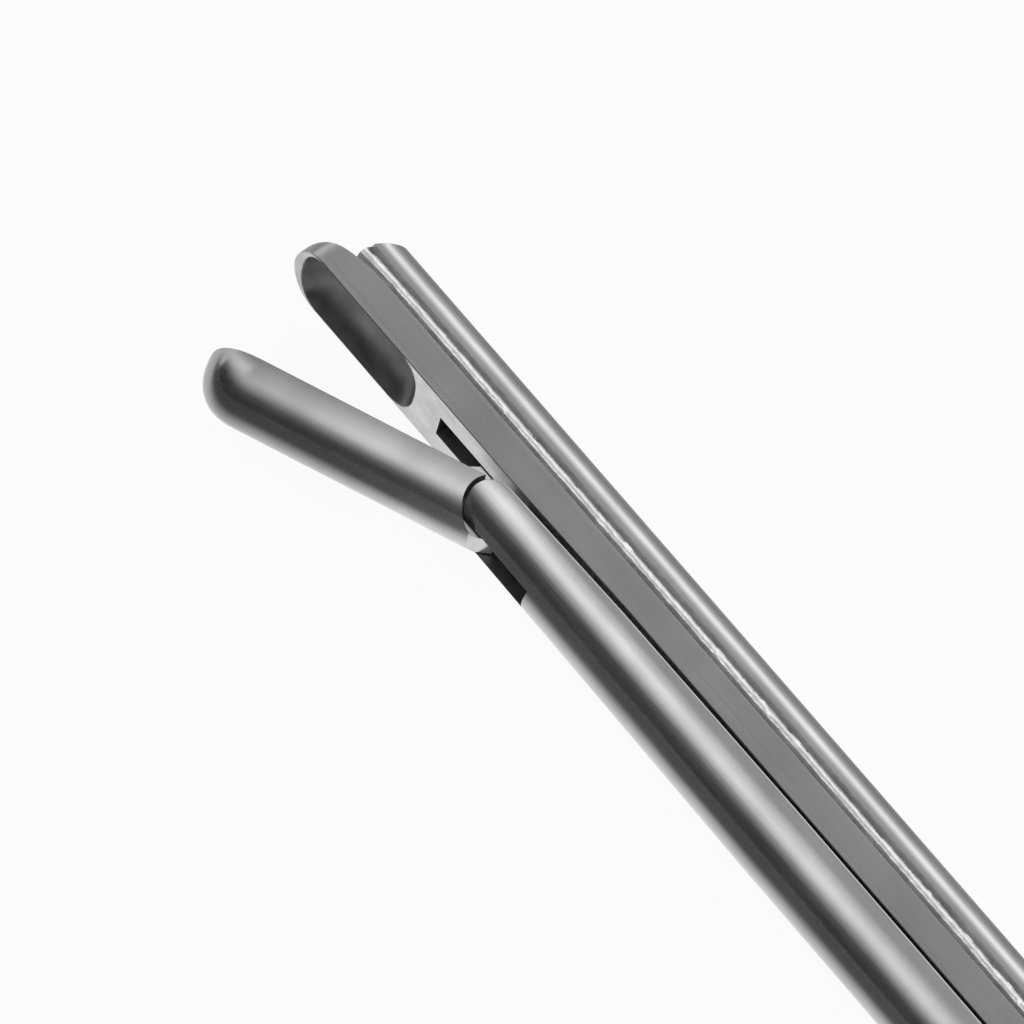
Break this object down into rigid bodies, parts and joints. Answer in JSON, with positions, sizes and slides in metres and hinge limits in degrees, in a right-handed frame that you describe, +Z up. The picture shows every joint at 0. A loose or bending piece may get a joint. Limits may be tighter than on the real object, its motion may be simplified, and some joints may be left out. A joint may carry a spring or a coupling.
{
  "type": "nasal suction forceps",
  "caption": "Ring-handled nasal forceps whose sliding half-round shaft closes a cupped jaw, with a suction tube brazed along its back.",
  "frame": {"origin": "on the axis of the handle pivot, in the flat side of the handle block that the instrument lies on", "axes": "+X runs along the shaft to the jaws, +Y points from the shaft's fixed bar to its slide, +Z points up from the surface that the instrument lies on"},
  "size_m": [0.1803, 0.089, 0.005],
  "materials": {
    "shaft_steel": "polished stainless steel with a fine lengthwise rub",
    "pin_steel": "ground stainless steel",
    "tube_steel": "drawn and polished stainless steel",
    "braze": "rough silver filler metal",
    "handle_steel": "satin stainless steel"
  },
  "bodies": {
    "frame": {"fixed_shaft": "shaft_steel", "fixed_handle": "handle_steel", "handle_rivet_front": "pin_steel", "handle_rivet_rear": "pin_steel", "guide_stud_front": "pin_steel", "guide_stud_rear": "pin_steel", "suction_tube": "tube_steel", "braze_seam_near": "braze", "braze_seam_far": "braze", "tube_ferrule": "tube_steel", "hose_nipple": "tube_steel", "jaw_pivot_pin": "pin_steel", "pivot_screw": "pin_steel"},
    "slide": {"slide_shaft": "shaft_steel", "jaw_drive_pin": "pin_steel", "lever_pin": "pin_steel"},
    "jaw": {"moving_jaw": "shaft_steel"},
    "lever": {"moving_handle": "handle_steel"}
  },
  "joints": [
    {"name": "handle_pivot", "type": "hinge", "parent": "frame", "child": "lever", "pos_m": [0, 0, 0.0025], "axis": [0, 0, 1], "range_deg": [-7.68, 5.39]},
    {"name": "slide_travel", "type": "slide", "parent": "frame", "child": "slide", "axis": [1, 0, 0], "range_m": [-0.00053, 0.00075]},
    {"name": "jaw_pivot", "type": "hinge", "parent": "frame", "child": "jaw", "pos_m": [0.11725, 0.00385, 0.0025], "axis": [0, 0, 1], "range_deg": [-23.51, 16.51]}
  ],
  "couplings": [
    {"joint": "slide_travel", "follows": "handle_pivot", "m_per_rad": -0.0056},
    {"joint": "jaw_pivot", "follows": "handle_pivot", "ratio": 3.0601}
  ]
}
